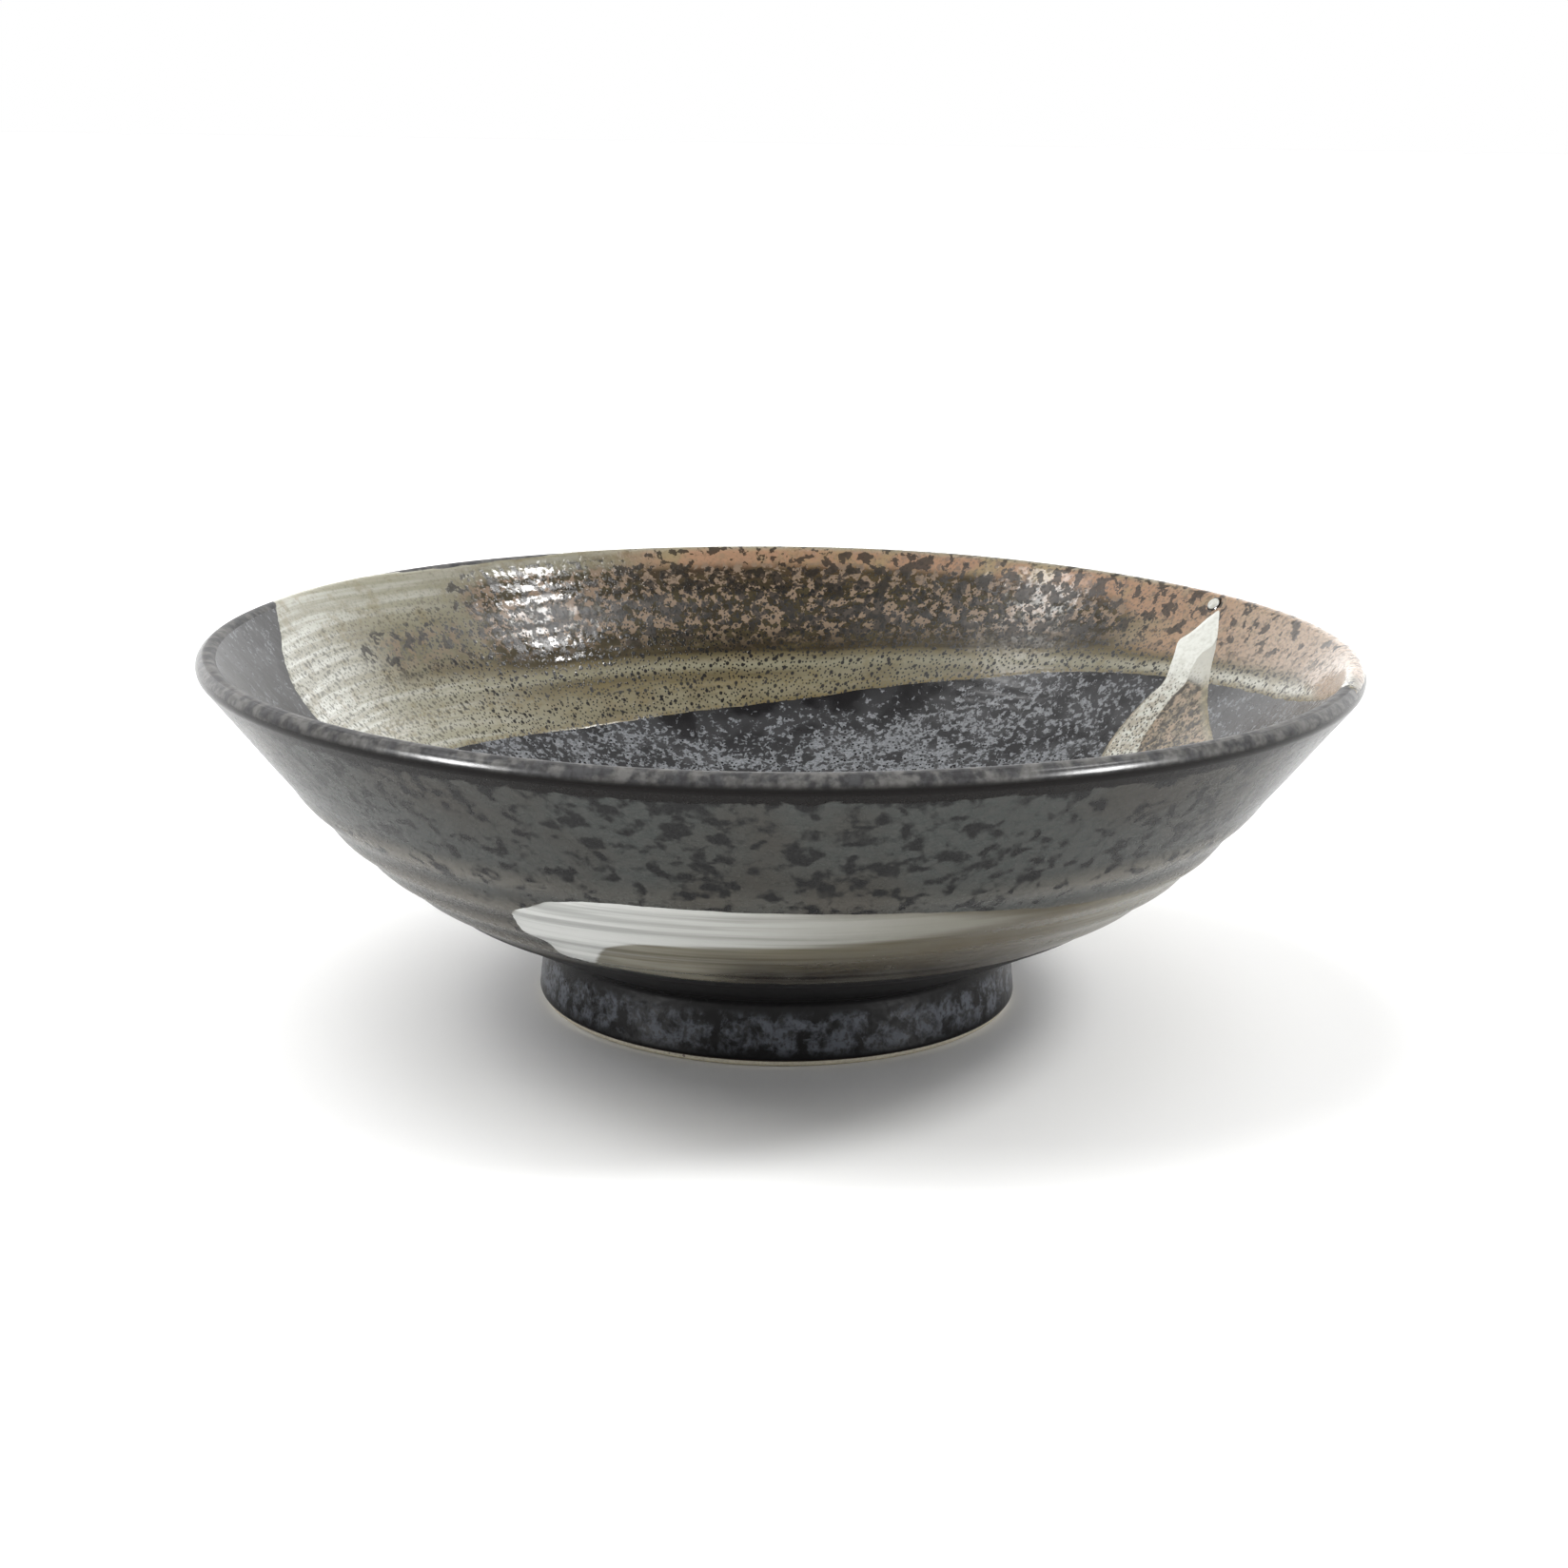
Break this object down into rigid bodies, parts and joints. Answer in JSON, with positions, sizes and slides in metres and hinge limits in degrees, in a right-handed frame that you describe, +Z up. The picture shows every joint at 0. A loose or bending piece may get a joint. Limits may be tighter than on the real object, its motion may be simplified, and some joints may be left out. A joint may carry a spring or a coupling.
{
  "type": "tea bowl",
  "caption": "Wide, shallow stoneware bowl for whisked tea: a thrown wall on a turned foot ring, under a dark glaze with brushed pale slip inside and out.",
  "frame": {"origin": "centre of the circle the foot ring rests on, at the level of the resting surface", "axes": "+Z up along the bowl's axis; the outer brush stroke begins on the -Y side and the broad inner stroke covers the +Y side"},
  "size_m": [0.156, 0.156, 0.05],
  "materials": {
    "stoneware": "matte unglazed stoneware, hidden under the glaze",
    "bare_foot": "matte, fine-grained pale stoneware, turned and wiped clean of glaze",
    "well_glaze": "glossy charcoal glaze with lacy silver-grey mottling",
    "lip_glaze": "glossy near-black brown where the glaze breaks over the lip",
    "wall_glaze": "satin to glossy grey glaze with soft darker spots",
    "foot_glaze": "glossy black glaze with blue-grey mottling",
    "recess_glaze": "thin glossy black glaze inside the foot",
    "inner_slip": "glossy brushed slip, pale celadon to olive and salmon, with dark specks",
    "streak_slip": "glossy white slip, thinning to speckled tan",
    "drop_slip": "glossy white slip",
    "outer_slip": "glossy brushed slip, white at the start, tan-grey below"
  },
  "bodies": {
    "root": {"clay_bowl": "stoneware", "foot_ring": "bare_foot", "inner_glaze": "well_glaze", "lip_glaze": "lip_glaze", "outer_glaze": "wall_glaze", "foot_glaze": "foot_glaze", "recess_glaze": "recess_glaze", "inner_brush_stroke": "inner_slip", "inner_white_streak": "streak_slip", "white_drop": "drop_slip", "outer_brush_stroke": "outer_slip"}
  },
  "joints": []
}
